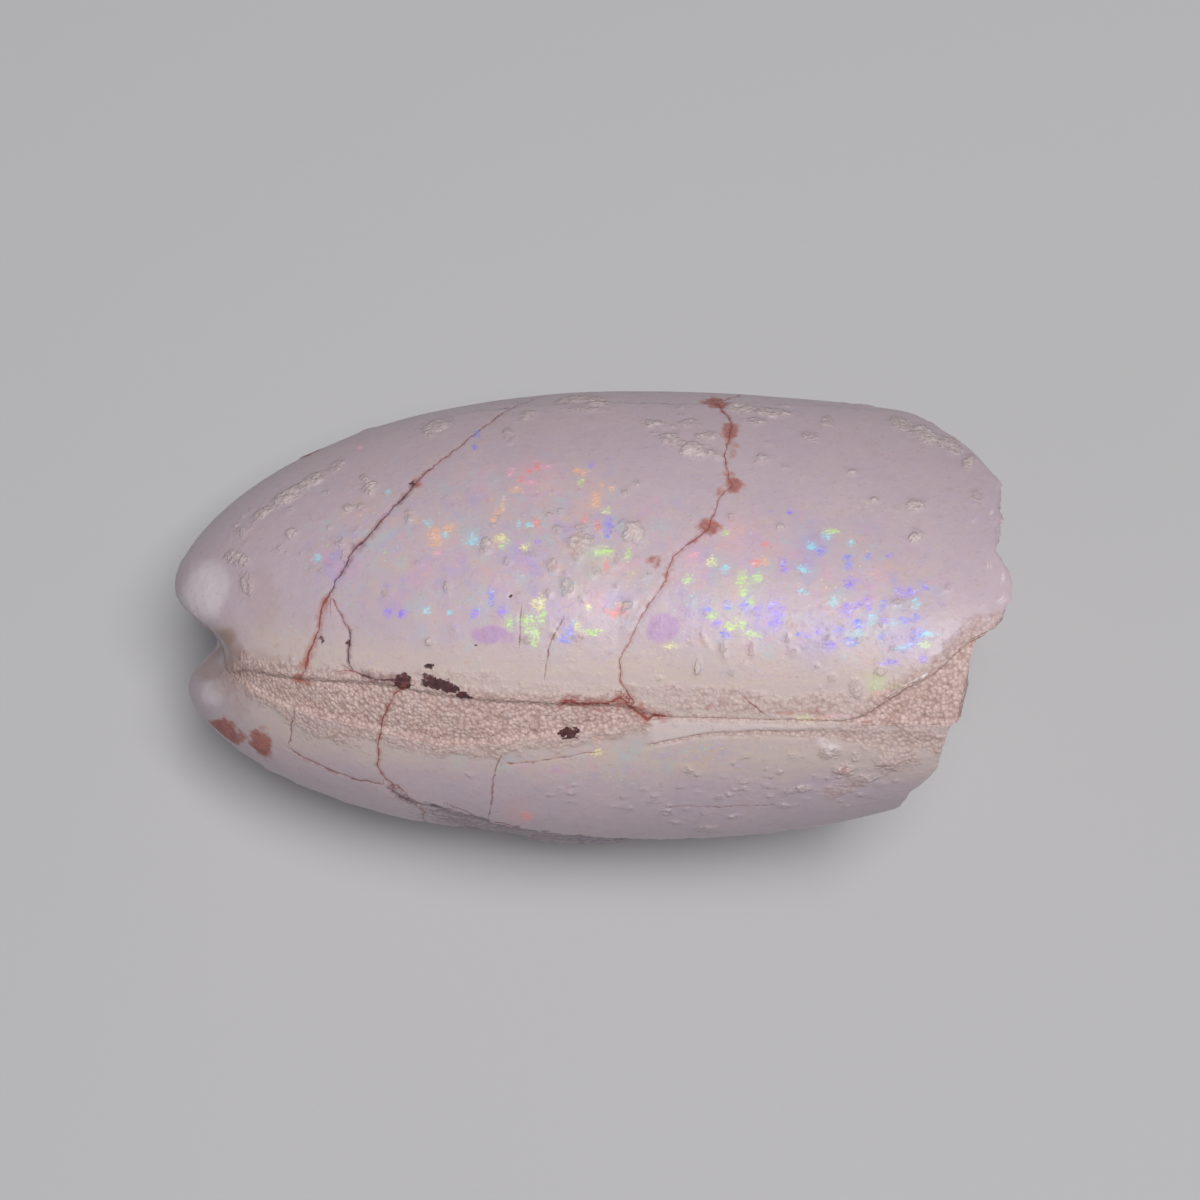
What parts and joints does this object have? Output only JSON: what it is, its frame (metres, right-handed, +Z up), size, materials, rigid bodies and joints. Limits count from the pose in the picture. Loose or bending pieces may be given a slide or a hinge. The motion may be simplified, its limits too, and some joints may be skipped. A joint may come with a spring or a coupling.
{
  "type": "opalized fossil shell",
  "caption": "Opalised bivalve fossil: two closed valves with a notch between the beaks, a sand-filled hinge groove and a broken hind end, lying on its side.",
  "frame": {"origin": "centre of the bounding box at floor level, under the worn flat that the fossil rests on", "axes": "+X from the beaks to the broken end, +Y to the back, away from the hinge groove, +Z up"},
  "size_m": [0.0464, 0.0268, 0.0269],
  "materials": {
    "opalised_shell": "polished by wear, softly glossy, with a play of colour",
    "opalised_shell_lower": "polished by wear, softly glossy",
    "sandstone": "rough, granular"
  },
  "bodies": {
    "root": {"upper_valve": "opalised_shell", "lower_valve": "opalised_shell_lower", "sandstone_filling": "sandstone"}
  },
  "joints": []
}
